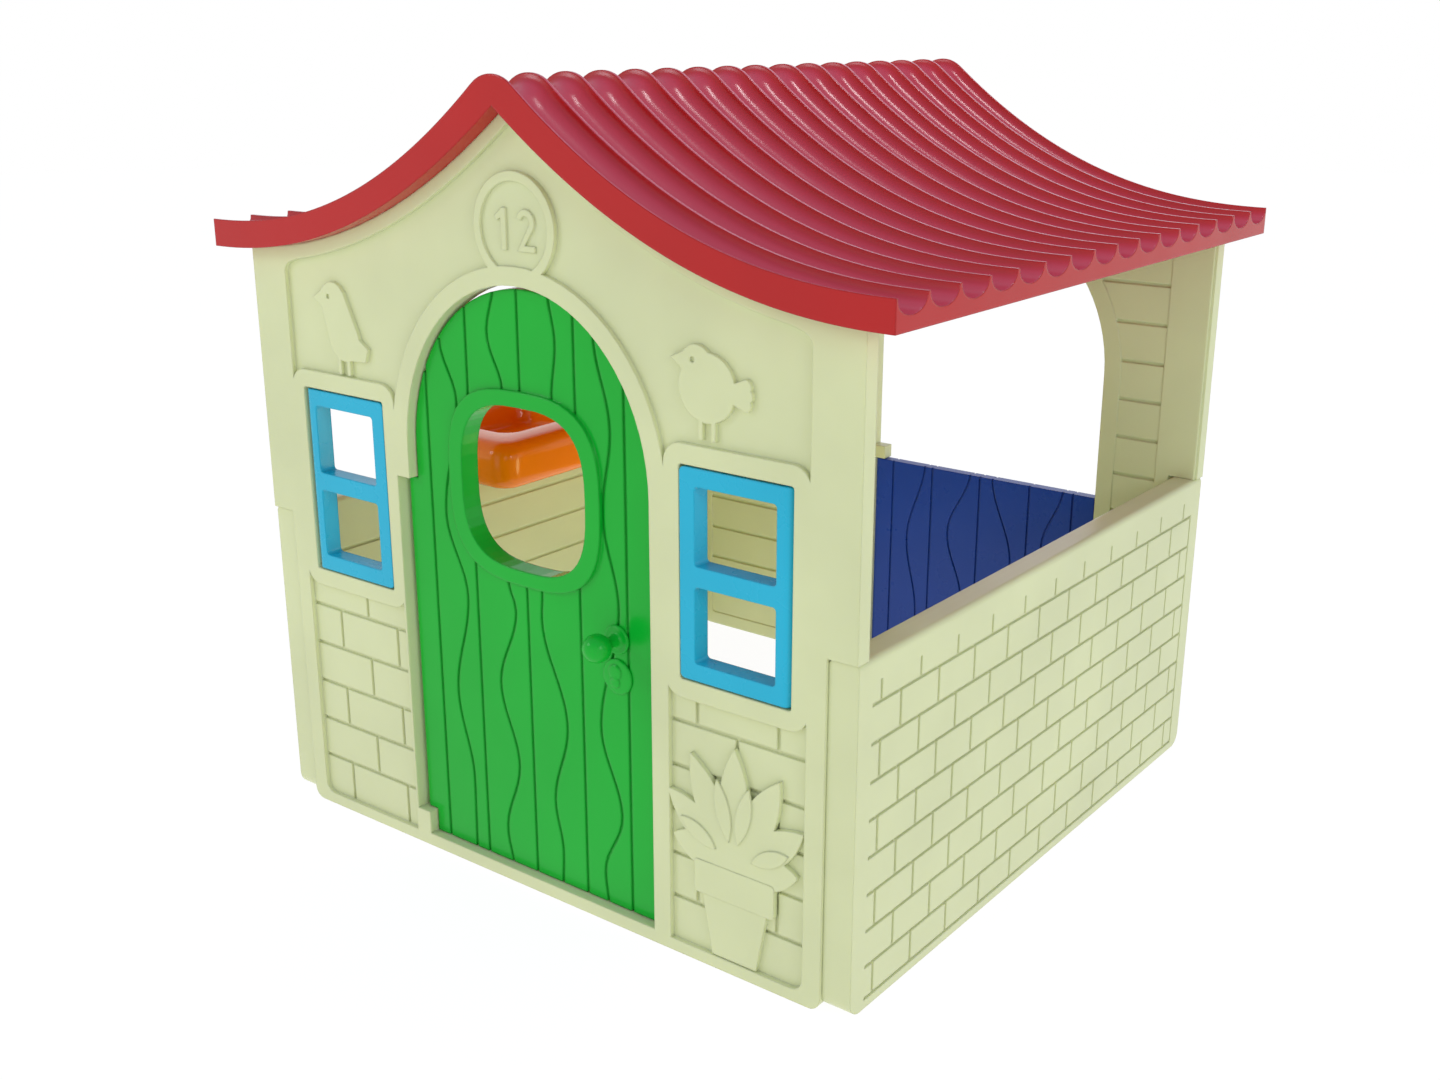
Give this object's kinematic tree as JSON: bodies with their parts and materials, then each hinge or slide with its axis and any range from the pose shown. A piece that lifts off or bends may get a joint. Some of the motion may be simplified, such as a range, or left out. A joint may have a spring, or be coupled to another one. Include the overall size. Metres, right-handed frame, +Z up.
{
  "type": "playhouse",
  "caption": "Plastic garden playhouse with a tiled roof, hinged front door, half-height back door, casement windows and a sink tray on the side wall.",
  "frame": {"origin": "on the ground at the centre of the four walls' footprint", "axes": "+Z up; the front door faces -Y; +X is to the right of someone who looks at the front door"},
  "size_m": [1.409, 1.245, 1.2712],
  "materials": {
    "cream_plastic": "satin blow-moulded polyethylene",
    "red_plastic": "semi-gloss moulded polyethylene",
    "green_plastic": "semi-gloss moulded polyethylene",
    "navy_plastic": "semi-gloss moulded polyethylene",
    "blue_plastic": "semi-gloss moulded polyethylene",
    "orange_plastic": "glossy moulded polyethylene",
    "grey_plastic": "moulded nylon"
  },
  "bodies": {
    "house": {"front_wall": "cream_plastic", "back_wall": "cream_plastic", "left_half_wall": "cream_plastic", "right_half_wall": "cream_plastic", "roof": "red_plastic", "front_corner_screws": "grey_plastic", "back_corner_screws": "grey_plastic", "roof_screws": "grey_plastic", "sink_tray": "orange_plastic"},
    "front_leaf": {"front_door": "green_plastic", "front_door_pins": "grey_plastic", "door_knob": "green_plastic", "inner_knob": "green_plastic", "knob_spindle": "grey_plastic", "keyhole_plate": "green_plastic"},
    "back_leaf": {"back_door": "navy_plastic", "back_door_pins": "grey_plastic"},
    "left_sash": {"left_casement": "blue_plastic", "left_casement_pins": "blue_plastic"},
    "right_sash": {"right_casement": "blue_plastic", "right_casement_pins": "blue_plastic"}
  },
  "joints": [
    {"name": "front_door_hinge", "type": "hinge", "parent": "house", "child": "front_leaf", "pos_m": [-0.26, -0.5515, 0.36], "axis": [0, 0, 1], "range_deg": [0, 95]},
    {"name": "back_door_hinge", "type": "hinge", "parent": "house", "child": "back_leaf", "pos_m": [-0.082, 0.567, 0.25], "axis": [0, 0, 1], "range_deg": [0, 90]},
    {"name": "left_casement_hinge", "type": "hinge", "parent": "house", "child": "left_sash", "pos_m": [-0.479, -0.567, 0.6075], "axis": [0, 0, -1], "range_deg": [0, 90]},
    {"name": "right_casement_hinge", "type": "hinge", "parent": "house", "child": "right_sash", "pos_m": [0.479, -0.567, 0.6075], "axis": [0, 0, 1], "range_deg": [0, 90]}
  ]
}
